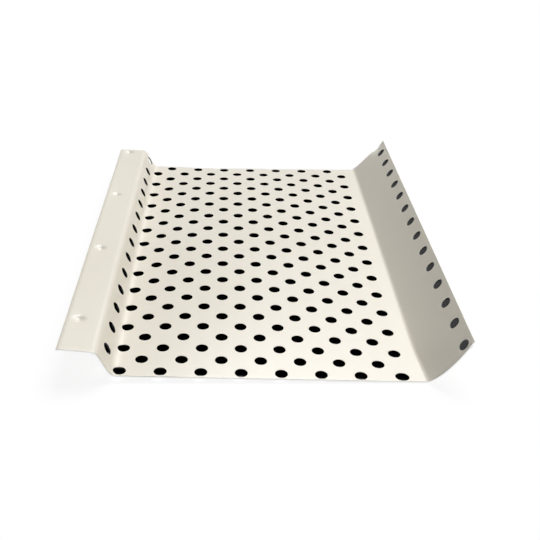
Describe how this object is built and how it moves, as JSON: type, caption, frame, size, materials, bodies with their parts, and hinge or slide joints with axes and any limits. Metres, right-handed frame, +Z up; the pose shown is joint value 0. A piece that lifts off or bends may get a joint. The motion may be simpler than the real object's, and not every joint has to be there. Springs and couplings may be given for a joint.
{
  "type": "gutter guard",
  "caption": "Short length of bent, perforated, off-white coated sheet that covers a roof gutter: dimpled lip flange, step wall, flat perforated pan and rising rear flap.",
  "frame": {"origin": "under the middle of the sheet, on the plane that the pan lies on", "axes": "+X across the sheet from the lip flange to the rear flap, +Y along its length from the near end, +Z up"},
  "size_m": [0.1282, 0.1778, 0.0158],
  "materials": {
    "coated_sheet": "off-white baked coil coating on aluminium, low gloss"
  },
  "bodies": {
    "root": {"gutter_guard_sheet": "coated_sheet"}
  },
  "joints": []
}
